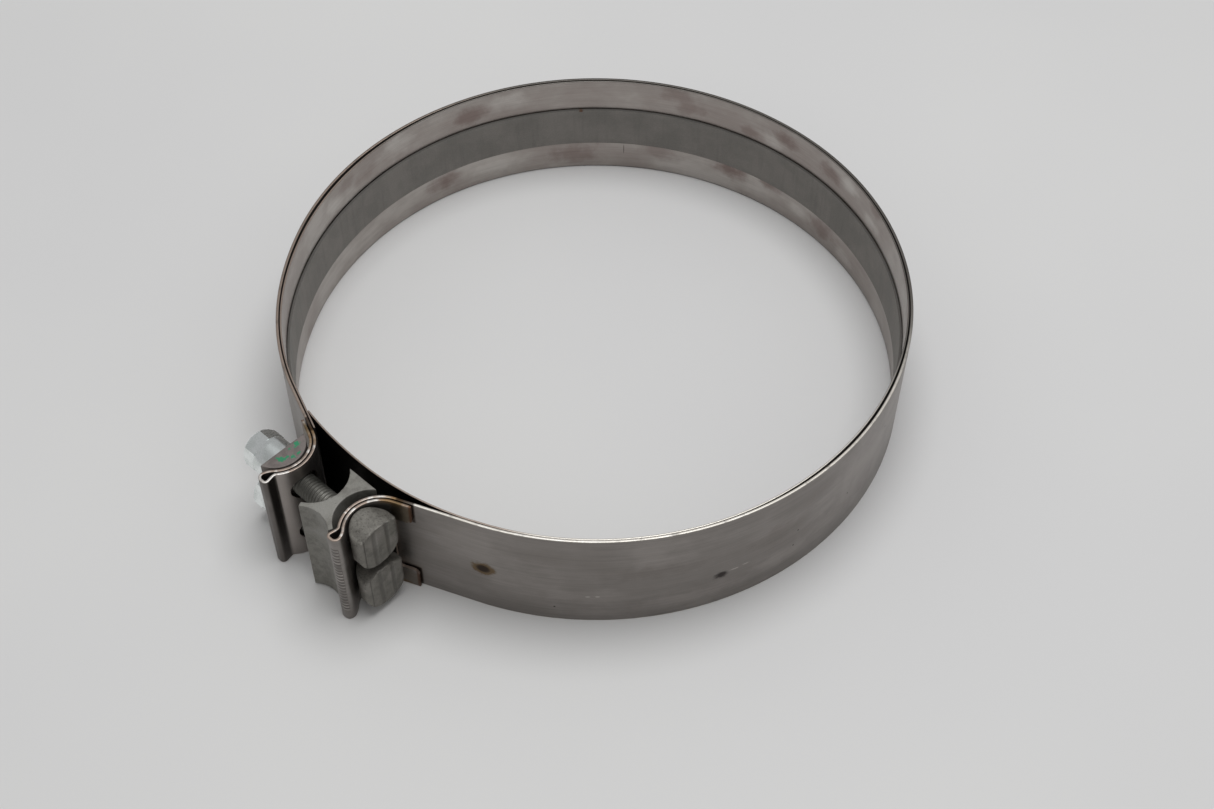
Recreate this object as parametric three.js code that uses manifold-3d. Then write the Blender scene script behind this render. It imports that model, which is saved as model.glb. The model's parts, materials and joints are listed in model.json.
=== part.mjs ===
// A wide flat-band clamp for large pipes. A steel band with preformed ears carries a thin liner and a
// gasket strip. Two bolts with D-shaped heads sit in one ear and pass through a reaction block and the
// other ear into a D-shaped bar, where two collar nuts draw the ears together.
// Millimetres, +Z up along the pipe. The ring is centred on the origin while it is built: the ears are
// at -Y, the bolts lie along X, the heads are on the +X side and the nuts on the -X side.
import * as THREE from 'three';
import { mergeVertices } from 'three/addons/utils/BufferGeometryUtils.js';
import Module from 'manifold-3d';

const wasm = await Module();
wasm.setup();

// Driving dimensions
const BAND_WIDTH = 50.8;
const RING_RADIUS = 126.4;
const BAND_THICKNESS = 1.1;
const LINER_THICKNESS = 0.7;
const LINER_GAP = 0.4;
const LINER_WIDTH = 50.4;
const GASKET_THICKNESS = 1.0;
const GASKET_LOW = 15.2;
const GASKET_HIGH = 35.0;
const PIECE_GAP = 0.3;

// Ears: each is a round pocket about a centre beside the gap, closed by a hollow bead at its foot
const GAP_X = -2.78;
const EAR_HALF_SPAN = 27.84;
const BOLT_Y = -140.82;
const EAR_RADIUS = 14.6;
const FLAP_GAP = 0.45;
const TAB_LENGTH = 7.6;
const TAB_HEIGHT = 10.2;
const TAB_ROOT = 1.2;
const NECK_ANGLE = 221;
const RETURN_NECK_ANGLE = 226;
const NECK_REACH = 1.1;
const BEAD_SIDE = 8.74;
const BEAD_DROP = 12.6;
const BEAD_RADIUS = 2.5;
const BEAD_START_ANGLE = 170;
const BEAD_END_ANGLE = 380;
const SLOT_HALF_LENGTH = 6.4;
const SLOT_CLEARANCE = 0.7;

// Bolts, nuts, bar and block
const BOLT_HEIGHTS = { upper: 38.7, lower: 13.3 };
const BOLT_RADIUS = 4.76;
const BOLT_END_X = GAP_X - 39;
const HEAD_RADIUS = 9.2;
const HEAD_APEX_X = GAP_X + 16.3;
const HEAD_FLAT_X = GAP_X + 27.6;
const HEAD_HALF_HEIGHT = 10.5;
const HEAD_FOOT_RADIUS = 8.4;
const HEAD_TOP_RADIUS = 3.6;
const SHANK_CHAMFER = 1.2;
const NUT_CLEARANCE = 0.3;
const NUT_COLLAR_RADIUS = 8.1;
const NUT_COLLAR_LENGTH = 9.8;
const NUT_LENGTH = 16.9;
const NUT_ACROSS_FLATS = 14.3;
const NUT_CHAMFER = 1.9;
const BAR_RADIUS = 11;
const BAR_CORNER = 0.8;
const BAR_FLAT_X = GAP_X - 24.7;
const BLOCK_X = GAP_X + 7.4;
const BLOCK_WEB = 3.7;
const BLOCK_INNER_HALF = 7.3;
const BLOCK_OUTER_HALF = 8.8;
const BLOCK_REACH_IN = 11.2;
const BLOCK_REACH_OUT = 11;
const BLOCK_TIP_DROP = 2;
const BLOCK_TIP_IN = 0.8;
const BLOCK_HOLLOW = 10.1;
const BAR_HEIGHT = 50;
const HOLE_CLEARANCE = 0.44;

// Angles from the front of the ring at -Y, in degrees, towards +X
const LINER_SPLIT_ANGLE = 23.5;
const TONGUE_TIP_ANGLE = -15.9;
const TONGUE_GASKET_ANGLE = -13.6;
const TONGUE_TILT = 0.7;
const GASKET_END_ANGLE = 25.3;
const LINER_LEFT_END_X = -26.2;

// How far a cutting solid runs past what it cuts
const OVERRUN = 1;

const radians = THREE.MathUtils.degToRad;
const degrees = THREE.MathUtils.radToDeg;

const bandMid = RING_RADIUS - BAND_THICKNESS / 2;
const earMid = EAR_RADIUS - BAND_THICKNESS / 2;
const flapMid = earMid - BAND_THICKNESS - FLAP_GAP;
const linerMid = RING_RADIUS - BAND_THICKNESS - LINER_GAP - LINER_THICKNESS / 2;
const gasketMid = linerMid - LINER_THICKNESS / 2 - PIECE_GAP - GASKET_THICKNESS / 2;

// Each ear is drawn on the +X side and mirrored for the -X side. The gap is a little off the ring's
// centre line, so the two ears stand at different distances from it.
function earCentre(side) {
  return new THREE.Vector2(EAR_HALF_SPAN + side * GAP_X, BOLT_Y);
}

// The straight run from ring to ear touches both arcs, so its angle follows from their radii
function runAngle(side) {
  const centre = earCentre(side);
  return Math.atan2(centre.x, -centre.y) + Math.acos((bandMid + earMid) / centre.length());
}

// Points on a circle, with angles in degrees from +X
function arc(centre, radius, from, to, steps) {
  const points = [];
  for (let i = 0; i <= steps; i += 1) {
    const angle = radians(from + ((to - from) * i) / steps);
    points.push(new THREE.Vector2(
      centre.x + radius * Math.cos(angle),
      centre.y + radius * Math.sin(angle),
    ));
  }
  return points;
}

// Points on the circle through three given points, from the first to the last
function arcThrough(first, middle, last, steps) {
  const a = middle.clone().sub(first);
  const b = last.clone().sub(first);
  const cross = 2 * a.cross(b);
  const centre = new THREE.Vector2(
    first.x + (b.y * a.lengthSq() - a.y * b.lengthSq()) / cross,
    first.y + (a.x * b.lengthSq() - b.x * a.lengthSq()) / cross,
  );
  const from = first.clone().sub(centre).angle();
  let sweep = last.clone().sub(centre).angle() - from;
  const full = 2 * Math.PI;
  const halfway = (middle.clone().sub(centre).angle() - from + full) % full;
  sweep = (sweep + full) % full;
  if (halfway > sweep) {
    sweep -= full;
  }
  return arc(centre, first.distanceTo(centre), degrees(from), degrees(from + sweep), steps);
}

// A smooth link between two points, leaving and arriving along given headings in degrees
function link(start, startHeading, end, endHeading, reach, steps) {
  const step = (heading) => new THREE.Vector2(Math.cos(radians(heading)), Math.sin(radians(heading)));
  const curve = new THREE.CubicBezierCurve(
    start,
    start.clone().addScaledVector(step(startHeading), reach),
    end.clone().addScaledVector(step(endHeading), -reach),
    end,
  );
  return curve.getPoints(steps).slice(1, -1);
}

// The closed outline of a strip of even thickness along a centre line
function strip(points, thickness) {
  const outward = [];
  const inward = [];
  points.forEach((point, i) => {
    const before = points[Math.max(i - 1, 0)];
    const after = points[Math.min(i + 1, points.length - 1)];
    const along = after.clone().sub(before).normalize();
    const across = new THREE.Vector2(-along.y, along.x).multiplyScalar(thickness / 2);
    outward.push(point.clone().add(across));
    inward.push(point.clone().sub(across));
  });
  return new THREE.Shape([...outward, ...inward.reverse()]);
}

function mirrored(points, side) {
  return points.map((point) => new THREE.Vector2(point.x * side, point.y));
}

// A plan outline raised from one height to another
function raise(shape, low, high) {
  const geometry = new THREE.ExtrudeGeometry(shape, { depth: high - low, bevelEnabled: false });
  return geometry.translate(0, 0, low);
}

// An outline drawn in Y and Z, run along X
function runAlongX(shape, from, to) {
  const geometry = new THREE.ExtrudeGeometry(shape, { depth: to - from, bevelEnabled: false });
  const turn = new THREE.Matrix4().makeBasis(
    new THREE.Vector3(0, 1, 0),
    new THREE.Vector3(0, 0, 1),
    new THREE.Vector3(1, 0, 0),
  );
  return geometry.applyMatrix4(turn).translate(from, 0, 0);
}

// A turned solid about an axis along X through the bolt line at one height
function turnedAlongX(profile, height, segments) {
  const geometry = new THREE.LatheGeometry(profile, segments);
  return geometry.rotateZ(-Math.PI / 2).translate(0, BOLT_Y, height);
}

function solid(geometry) {
  const plain = geometry.clone();
  plain.deleteAttribute('normal');
  plain.deleteAttribute('uv');
  const merged = mergeVertices(plain, 1e-4);
  return new wasm.Manifold(new wasm.Mesh({
    numProp: 3,
    vertProperties: merged.attributes.position.array,
    triVerts: new Uint32Array(merged.index.array),
  }));
}

function geometryOf(manifold) {
  const mesh = manifold.getMesh();
  const geometry = new THREE.BufferGeometry();
  geometry.setAttribute('position', new THREE.BufferAttribute(mesh.vertProperties, 3));
  geometry.setIndex(new THREE.BufferAttribute(mesh.triVerts, 1));
  geometry.computeVertexNormals();
  return geometry;
}

const clamp = new THREE.Group();

function add(name, geometry, color, roughness, metalness) {
  const material = new THREE.MeshStandardMaterial({ color, roughness, metalness });
  const mesh = new THREE.Mesh(geometry, material);
  mesh.name = name;
  clamp.add(mesh);
}

const BAND_STEEL = [0x77716d, 0.38, 1];
const LINER_STEEL = [0x7d7571, 0.34, 1];
const GASKET_GREY = [0x575756, 0.85, 0];
const CAST_GREY = [0x7c7b75, 0.6, 0.8];
const ZINC = [0xb4bab8, 0.35, 1];

// Angle from the front at which a half strip of the ring ends at the back, beside the split
function backAngle(side, radius) {
  return 180 - degrees((PIECE_GAP / 2 + side * GAP_X) / radius);
}

// Centre line of half the band: ring, straight run, ear, bead, second layer and tab
function bandLine(side) {
  const lean = degrees(runAngle(side));
  const centre = earCentre(side);
  const beadCentre = new THREE.Vector2(centre.x - BEAD_SIDE, centre.y - BEAD_DROP);
  const ring = arc(new THREE.Vector2(), bandMid, backAngle(side, bandMid) - 90, lean - 90, 40);
  const ear = arc(centre, earMid, 90 + lean, NECK_ANGLE, 14);
  const bead = arc(beadCentre, BEAD_RADIUS - BAND_THICKNESS / 2, BEAD_START_ANGLE, BEAD_END_ANGLE, 14);
  const flap = arc(centre, flapMid, RETURN_NECK_ANGLE, 90 + lean, 14);
  const run = new THREE.Vector2(Math.cos(radians(lean)), Math.sin(radians(lean)));
  const tab = flap.at(-1).clone().addScaledVector(run, TAB_LENGTH);
  return [
    ...ring,
    ...ear,
    ...link(ear.at(-1), NECK_ANGLE + 90, bead[0], BEAD_START_ANGLE + 90, NECK_REACH, 6),
    ...bead,
    ...link(bead.at(-1), BEAD_END_ANGLE - 270, flap[0], RETURN_NECK_ANGLE - 90, NECK_REACH, 6),
    ...flap,
    tab,
  ];
}

// The notch that leaves a tab at each edge of the second layer
function tabNotch(side) {
  const low = flapMid - BAND_THICKNESS;
  const high = flapMid + BAND_THICKNESS / 2 + FLAP_GAP / 2;
  const lean = runAngle(side);
  const centre = earCentre(side);
  const corner = (along, radius) => new THREE.Vector2(
    centre.x - radius * Math.sin(lean) + along * Math.cos(lean),
    centre.y + radius * Math.cos(lean) + along * Math.sin(lean),
  );
  const end = TAB_LENGTH + OVERRUN;
  return [corner(-TAB_ROOT, low), corner(end, low), corner(end, high), corner(-TAB_ROOT, high)];
}

// A slot with round ends for a bolt through an ear, longer across the band's curve
function boltSlot(height) {
  const radius = BOLT_RADIUS + SLOT_CLEARANCE;
  const reach = SLOT_HALF_LENGTH - radius;
  return new THREE.Shape([
    ...arc(new THREE.Vector2(BOLT_Y + reach, height), radius, -90, 90, 10),
    ...arc(new THREE.Vector2(BOLT_Y - reach, height), radius, 90, 270, 10),
  ]);
}

function band(side) {
  let body = solid(raise(strip(mirrored(bandLine(side), side), BAND_THICKNESS), 0, BAND_WIDTH));
  const notch = new THREE.Shape(mirrored(tabNotch(side), side));
  body = body.subtract(solid(raise(notch, TAB_HEIGHT, BAND_WIDTH - TAB_HEIGHT)));
  const slotDepth = 7;
  const face = side * (earCentre(side).x - EAR_RADIUS - OVERRUN);
  const from = Math.min(face, face + side * slotDepth);
  Object.values(BOLT_HEIGHTS).forEach((height) => {
    body = body.subtract(solid(runAlongX(boltSlot(height), from, from + slotDepth)));
  });
  return geometryOf(body);
}

// A curved strip on the ring between two angles from the front, with an optional straight tail
function ringStrip(radius, thickness, from, to, low, high, steps, tail = []) {
  const points = arc(new THREE.Vector2(), radius, from - 90, to - 90, steps);
  return raise(strip([...points, ...tail], thickness), low, high);
}

const linerLow = (BAND_WIDTH - LINER_WIDTH) / 2;
const linerHigh = linerLow + LINER_WIDTH;
const endStep = degrees(PIECE_GAP / linerMid);

// The tongue springs outward a little about the place where it leaves the liner
function tilted(geometry) {
  const root = arc(new THREE.Vector2(), linerMid, LINER_SPLIT_ANGLE - 90, 0, 1)[0];
  return geometry
    .translate(-root.x, -root.y, 0)
    .rotateZ(radians(TONGUE_TILT))
    .translate(root.x, root.y, 0);
}

function addLiner() {
  const strips = (from, to, steps, tail) => ringStrip(
    linerMid, LINER_THICKNESS, from, to, linerLow, linerHigh, steps, tail,
  );
  const lean = runAngle(-1);
  const start = new THREE.Vector2(-linerMid * Math.sin(lean), -linerMid * Math.cos(lean));
  const tail = new THREE.Vector2(
    LINER_LEFT_END_X,
    start.y - (LINER_LEFT_END_X - start.x) * Math.tan(lean),
  );
  const right = strips(backAngle(1, linerMid), LINER_SPLIT_ANGLE, 40);
  const left = strips(-backAngle(-1, linerMid), -degrees(lean), 40, [tail]);
  const tongue = strips(LINER_SPLIT_ANGLE - endStep, TONGUE_TIP_ANGLE, 12);
  add('liner_right', right, ...LINER_STEEL);
  add('liner_left', left, ...LINER_STEEL);
  add('liner_tongue', tilted(tongue), ...LINER_STEEL);
}

function addGasket() {
  const strips = (from, to, steps) => ringStrip(
    gasketMid, GASKET_THICKNESS, from, to, GASKET_LOW, GASKET_HIGH, steps,
  );
  const right = strips(backAngle(1, gasketMid), LINER_SPLIT_ANGLE, 40);
  const left = strips(-backAngle(-1, gasketMid), -GASKET_END_ANGLE, 40);
  const tongue = strips(LINER_SPLIT_ANGLE - 2 * endStep, TONGUE_GASKET_ANGLE, 12);
  add('gasket_right', right, ...GASKET_GREY);
  add('gasket_left', left, ...GASKET_GREY);
  add('gasket_tongue', tilted(tongue), ...GASKET_GREY);
}

function boltBore(radius, height, from, to) {
  const circle = new THREE.Shape(arc(new THREE.Vector2(BOLT_Y, height), radius, 0, 345, 23));
  return solid(runAlongX(circle, from, to));
}

// A bolt: a D-shaped head with a flat outer face and rounded lower corners, on a plain shank
function bolt(height) {
  const centre = new THREE.Vector2(HEAD_APEX_X + HEAD_RADIUS, BOLT_Y);
  const plan = new THREE.Shape([
    ...arc(centre, HEAD_RADIUS, 90, 270, 20),
    new THREE.Vector2(HEAD_FLAT_X, BOLT_Y - HEAD_RADIUS),
    new THREE.Vector2(HEAD_FLAT_X, BOLT_Y + HEAD_RADIUS),
  ]);
  const top = HEAD_TOP_RADIUS;
  const foot = HEAD_FOOT_RADIUS;
  const high = HEAD_HALF_HEIGHT - top;
  const low = -HEAD_HALF_HEIGHT + foot;
  const corner = (y, z) => new THREE.Vector2(BOLT_Y + y, height + z);
  const face = new THREE.Shape([
    ...arc(corner(HEAD_RADIUS - top, high), top, 0, 90, 4),
    ...arc(corner(-HEAD_RADIUS + top, high), top, 90, 180, 4),
    ...arc(corner(-HEAD_RADIUS + foot, low), foot, 180, 270, 8),
    ...arc(corner(HEAD_RADIUS - foot, low), foot, 270, 360, 8),
  ]);
  const reach = HEAD_HALF_HEIGHT + OVERRUN;
  const head = solid(raise(plan, height - reach, height + reach))
    .intersect(solid(runAlongX(face, HEAD_APEX_X - OVERRUN, HEAD_FLAT_X + OVERRUN)));
  const shankTop = (HEAD_APEX_X + HEAD_FLAT_X) / 2;
  const shank = turnedAlongX([
    new THREE.Vector2(0, BOLT_END_X),
    new THREE.Vector2(BOLT_RADIUS - SHANK_CHAMFER, BOLT_END_X),
    new THREE.Vector2(BOLT_RADIUS, BOLT_END_X + SHANK_CHAMFER),
    new THREE.Vector2(BOLT_RADIUS, shankTop),
    new THREE.Vector2(0, shankTop),
  ], height, 24);
  return geometryOf(head.add(solid(shank)));
}

// A collar nut: a round collar against the bar and a hexagon with a chamfered end
function nut(height) {
  const seat = BAR_FLAT_X - PIECE_GAP;
  const end = seat - NUT_LENGTH;
  const endRadius = NUT_ACROSS_FLATS / 2 - 1;
  const seatChamfer = 0.4;
  const blank = solid(turnedAlongX([
    new THREE.Vector2(0, end),
    new THREE.Vector2(endRadius, end),
    new THREE.Vector2(NUT_COLLAR_RADIUS, end + NUT_CHAMFER),
    new THREE.Vector2(NUT_COLLAR_RADIUS, seat - seatChamfer),
    new THREE.Vector2(NUT_COLLAR_RADIUS - seatChamfer, seat),
    new THREE.Vector2(0, seat),
  ], height, 48));
  const corners = arc(new THREE.Vector2(BOLT_Y, height), NUT_ACROSS_FLATS / Math.sqrt(3), 0, 300, 5);
  const shoulder = seat - NUT_COLLAR_LENGTH;
  const hexagon = solid(runAlongX(new THREE.Shape(corners), end - OVERRUN, shoulder));
  const reach = 2 * NUT_COLLAR_RADIUS;
  const square = arc(new THREE.Vector2(BOLT_Y, height), reach, 45, 315, 3);
  const collar = solid(runAlongX(new THREE.Shape(square), shoulder, seat + OVERRUN));
  const bore = boltBore(BOLT_RADIUS + NUT_CLEARANCE, height, end - OVERRUN, seat + OVERRUN);
  return geometryOf(blank.intersect(hexagon.add(collar)).subtract(bore));
}

const barLow = (BAND_WIDTH - BAR_HEIGHT) / 2;

function cutBolts(body, from, to) {
  return Object.values(BOLT_HEIGHTS).reduce(
    (rest, height) => rest.subtract(boltBore(BOLT_RADIUS + HOLE_CLEARANCE, height, from, to)),
    body,
  );
}

// The bar behind the nuts: a segment of a round bar with slightly rounded corners
function bar() {
  const centre = new THREE.Vector2(GAP_X - EAR_HALF_SPAN, BOLT_Y);
  const half = degrees(Math.acos((BAR_FLAT_X - centre.x) / BAR_RADIUS));
  const trim = degrees(BAR_CORNER / BAR_RADIUS);
  const halfFlat = BAR_RADIUS * Math.sin(radians(half)) - BAR_CORNER;
  const outline = [
    ...arc(centre, BAR_RADIUS, trim - half, half - trim, 24),
    new THREE.Vector2(BAR_FLAT_X, BOLT_Y + halfFlat),
    new THREE.Vector2(BAR_FLAT_X, BOLT_Y - halfFlat),
  ];
  const body = solid(raise(new THREE.Shape(outline), barLow, barLow + BAR_HEIGHT));
  return geometryOf(cutBolts(body, BAR_FLAT_X - OVERRUN, centre.x + BAR_RADIUS + OVERRUN));
}

// The reaction block: two hollow flanks that face the ears, joined by a thin web
function block() {
  const at = (x, y) => new THREE.Vector2(BLOCK_X + x, BOLT_Y + y);
  const flank = (side) => arcThrough(
    at(side * BLOCK_INNER_HALF, BLOCK_REACH_IN),
    at((side * BLOCK_WEB) / 2, 0),
    at(side * BLOCK_OUTER_HALF, -BLOCK_REACH_OUT),
    16,
  );
  const foot = arcThrough(
    at(BLOCK_OUTER_HALF - BLOCK_TIP_IN, -BLOCK_REACH_OUT - BLOCK_TIP_DROP),
    at(0, -BLOCK_HOLLOW),
    at(-BLOCK_OUTER_HALF + BLOCK_TIP_IN, -BLOCK_REACH_OUT - BLOCK_TIP_DROP),
    10,
  );
  const outline = new THREE.Shape([...flank(1), ...foot, ...flank(-1).reverse()]);
  const body = solid(raise(outline, barLow, barLow + BAR_HEIGHT));
  const reach = BLOCK_OUTER_HALF + OVERRUN;
  return geometryOf(cutBolts(body, BLOCK_X - reach, BLOCK_X + reach));
}

add('band_right', band(1), ...BAND_STEEL);
add('band_left', band(-1), ...BAND_STEEL);
addLiner();
addGasket();
add('reaction_block', block(), ...CAST_GREY);
add('d_bar', bar(), ...CAST_GREY);
Object.entries(BOLT_HEIGHTS).forEach(([place, height]) => {
  add(`bolt_${place}`, bolt(height), ...CAST_GREY);
  add(`nut_${place}`, nut(height), ...ZINC);
});

// The finished clamp stands with the bottom centre of its outer box at the origin
const box = new THREE.Box3().setFromObject(clamp);
clamp.position.y = -(box.min.y + box.max.y) / 2;

export default clamp;
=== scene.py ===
"""A wide flat-band pipe clamp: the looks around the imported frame, in metres, +Z up along the pipe.

The band, liner and gasket are strips of sheet bent along plan lines. Their UV map "strip" holds the
distance along the strip, counted from the front of the ring (-Y) towards +X, and the height, in metres.
The block, bar, bolts and nuts are solid pieces with object coordinates.
"""
import json
import math

import bmesh
import bpy
import numpy as np
from mathutils import Matrix, Vector


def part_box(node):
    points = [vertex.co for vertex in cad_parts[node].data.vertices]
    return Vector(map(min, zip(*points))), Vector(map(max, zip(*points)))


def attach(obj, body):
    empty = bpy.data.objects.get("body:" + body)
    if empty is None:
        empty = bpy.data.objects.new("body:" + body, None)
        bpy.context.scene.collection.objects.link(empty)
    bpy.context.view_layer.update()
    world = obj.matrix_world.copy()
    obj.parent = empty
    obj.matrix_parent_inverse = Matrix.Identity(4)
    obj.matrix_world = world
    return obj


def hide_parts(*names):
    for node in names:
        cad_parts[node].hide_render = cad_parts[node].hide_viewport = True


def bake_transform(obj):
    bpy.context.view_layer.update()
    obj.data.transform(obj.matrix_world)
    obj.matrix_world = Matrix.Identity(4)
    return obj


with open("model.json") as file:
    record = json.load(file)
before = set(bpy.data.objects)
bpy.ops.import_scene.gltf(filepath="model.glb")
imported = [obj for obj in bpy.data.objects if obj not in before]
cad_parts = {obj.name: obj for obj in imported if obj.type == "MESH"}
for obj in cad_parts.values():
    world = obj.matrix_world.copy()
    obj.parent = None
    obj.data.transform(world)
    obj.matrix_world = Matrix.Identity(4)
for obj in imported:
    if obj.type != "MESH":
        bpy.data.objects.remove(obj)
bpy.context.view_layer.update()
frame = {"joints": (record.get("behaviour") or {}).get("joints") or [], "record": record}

MM = 0.001
scene = bpy.context.scene

# ---------------- places and sizes from the frame
mounts = {m["name"]: Vector(m["pos_m"]) for m in frame["record"]["mounts"]}
pivots = {j["name"]: Vector(j["pos_m"]) for j in frame["joints"] if "pos_m" in j}

RING_Y = mounts["bottom_rim"].y
BAND_MID = mounts["bottom_rim"].x
BAND_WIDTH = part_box("band_right")[1].z
LINER_LOW, LINER_HIGH = (corner.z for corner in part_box("liner_right"))
GASKET_LOW, GASKET_HIGH = (corner.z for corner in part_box("gasket_right"))
GAP_X = pivots["band_flex"].x
BOLT_Y = mounts["head_face"].y
HEAD_FLAT_X = mounts["head_face"].x
BAR_FLAT_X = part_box("d_bar")[0].x
BAR_LOW, BAR_HIGH = (corner.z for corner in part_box("d_bar"))
EAR_RIGHT = pivots["upper_bolt_swing"]
EAR_LEFT = pivots["bar_swing"]
EARS = ((1, EAR_RIGHT), (-1, EAR_LEFT))
BOLT_HEIGHTS = {
    place: sum(corner.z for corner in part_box("bolt_" + place)) / 2 for place in ("upper", "lower")
}
BOLT_END_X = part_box("bolt_upper")[0].x
NUT_END_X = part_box("nut_upper")[0].x
NUT_SEAT_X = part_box("nut_upper")[1].x

# ---------------- driving dimensions
BAND_THICKNESS = 1.1 * MM
EAR_RADIUS = 14.6 * MM
FLAP_GAP = 0.45 * MM
TAB_LENGTH = 7.0 * MM
TAB_HEIGHT = 10.2 * MM
TAB_CORNER = 2.2 * MM
BEAD_SIDE = 8.74 * MM
BEAD_DROP = 12.6 * MM
BEAD_HALF_WIDTH = 2.6 * MM
BEAD_NOSE = 1.75 * MM
BEAD_BELLY = 2.4 * MM
NECK_ANGLE = 221
RETURN_NECK_ANGLE = 226
BEAD_START_ANGLE, BEAD_END_ANGLE = 174, 376
BEAD_EASE = 1.1 * MM
SLOT_HALF_LENGTH = 6.4 * MM
RIM_ROUND = 0.22 * MM
LEFT_EASE = 4.3
LEFT_SPRING_SPAN = 38

LINER_THICKNESS = 0.7 * MM
LINER_GAP = 0.4 * MM
GASKET_THICKNESS = 1.0 * MM
GASKET_LIFT = 0.1 * MM
LINER_SPLIT_ANGLE = 23.5
TONGUE_TIP_ANGLE = -15.9
TONGUE_GASKET_ANGLE = -13.6
TONGUE_JOIN_ANGLE = 45.0
TONGUE_TILT = 0.7
TONGUE_TIP_CURL = 1.4 * MM
GASKET_END_ANGLE = 25.3
LINER_LEFT_END_X = -26.2 * MM

BOLT_RADIUS = 4.76 * MM
THREAD_PITCH = 1.411 * MM
THREAD_DEPTH = 0.62 * MM
HEAD_RADIUS = 9.2 * MM
HEAD_LENGTH = 11.3 * MM
HEAD_HALF_HEIGHT = 10.5 * MM
HEAD_ARCH_DROP = 2.0 * MM
HEAD_TOP_ROUND = 1.8 * MM
HEAD_FOOT_ROUND = 8.6 * MM
HEAD_CORNER = 1.7 * MM
HEAD_RISE = 0.9 * MM
HOLE_CLEARANCE = 0.44 * MM
NUT_COLLAR_RADIUS = 8.1 * MM
NUT_COLLAR_LENGTH = 9.8 * MM
NUT_ACROSS_FLATS = 14.3 * MM
NUT_CLEARANCE = 0.3 * MM
BAR_RADIUS = 11.0 * MM
BLOCK_X = GAP_X + 7.4 * MM
BLOCK_WEB = 3.7 * MM
BLOCK_INNER_HALF = 7.3 * MM
BLOCK_OUTER_HALF = 8.8 * MM
BLOCK_REACH_IN = 11.2 * MM
BLOCK_REACH_OUT = 11.0 * MM

TAB_INNER = BAND_WIDTH / 2 - TAB_HEIGHT
EAR_MID = EAR_RADIUS - BAND_THICKNESS / 2
FLAP_MID = EAR_MID - BAND_THICKNESS - FLAP_GAP
LINER_MID = BAND_MID - BAND_THICKNESS / 2 - LINER_GAP - LINER_THICKNESS / 2
GASKET_MID = LINER_MID - LINER_THICKNESS / 2 - GASKET_LIFT - GASKET_THICKNESS / 2
RING = np.array((0.0, RING_Y))


# ---------------- plan lines
def unit(degrees):
    return np.array((math.cos(math.radians(degrees)), math.sin(math.radians(degrees))))


def arc(centre, radius, start, end, steps):
    """Points on a circle, with angles in degrees from +X."""
    angles = np.radians(np.linspace(start, end, steps + 1))
    return np.asarray(centre) + radius * np.column_stack((np.cos(angles), np.sin(angles)))


def link(start, start_heading, end, end_heading, reach, steps):
    """A smooth run between two points, leaving and arriving along headings in degrees."""
    leave = start + reach * unit(start_heading)
    arrive = end - reach * unit(end_heading)
    t = np.linspace(0, 1, steps + 1)[1:-1, None]
    return (1 - t) ** 3 * start + 3 * (1 - t) ** 2 * t * leave + 3 * (1 - t) * t**2 * arrive + t**3 * end


def arc_through(first, middle, last, steps):
    """Points on the circle through three points, from the first to the last."""
    points = np.array((first, middle, last))
    squares = (points**2).sum(axis=1)
    centre = np.linalg.solve(2 * (points[1:] - points[0]), squares[1:] - squares[0])
    x, y = (points - centre).T
    angles = np.degrees(np.unwrap(np.arctan2(y, x)))
    return arc(centre, math.dist(first, centre), angles[0], angles[2], steps)


def turned(points, centre, degrees):
    cosine, sine = unit(degrees)
    return (points - centre) @ np.array(((cosine, sine), (-sine, cosine))) + centre


def ring_point(angle, radius):
    """A plan point on the ring. Angles count in degrees from the front of the ring towards +X."""
    return RING + radius * unit(angle - 90)


def swell(angles, centre, half_width, depth):
    """A smooth swelling of the given depth about one angle round the ring."""
    away = np.clip(np.abs(angles - centre) / half_width, 0, 1)
    return depth * np.cos(away * math.pi / 2) ** 2


def spring(angles):
    """How far band and liner stand outside the ring beside the left ear, which stands a little off."""
    lean = lean_of(EAR_LEFT)
    across = np.array((math.sin(math.radians(lean)), -math.cos(math.radians(lean))))
    run_offset = across @ (-EAR_LEFT.x, EAR_LEFT.y - RING_Y) - EAR_MID - BAND_MID
    return swell(angles, 360 - lean, LEFT_SPRING_SPAN, run_offset)


def slack(angles):
    """How far the loose liner hangs inside the band: wide at both sides, close in front and behind."""
    left = swell(angles, 285, 36, 0.62 * MM)
    right = swell(angles, 96, 34, 0.55 * MM)
    front = swell(angles, 45, 42, 0.3 * MM)
    back = swell(angles, 180, 50, 0.2 * MM)
    return left + right - front - back


def ring_line(radius, start, end, steps, outward):
    """A line round the ring whose radius grows by outward(angles), with angles from the front."""
    angles = np.linspace(start, end, steps + 1)
    heading = np.radians(angles - 90)
    reach = (radius + outward(angles))[:, None]
    return RING + reach * np.column_stack((np.cos(heading), np.sin(heading)))


def lean_of(ear):
    """The heading in degrees of the straight run from an ear's arc to the ring, flatter on the left."""
    x, y = abs(ear.x), ear.y - RING_Y
    lean = math.degrees(math.atan2(x, -y) + math.acos((BAND_MID + EAR_MID) / math.hypot(x, y)))
    return lean - LEFT_EASE if ear.x < 0 else lean


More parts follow.
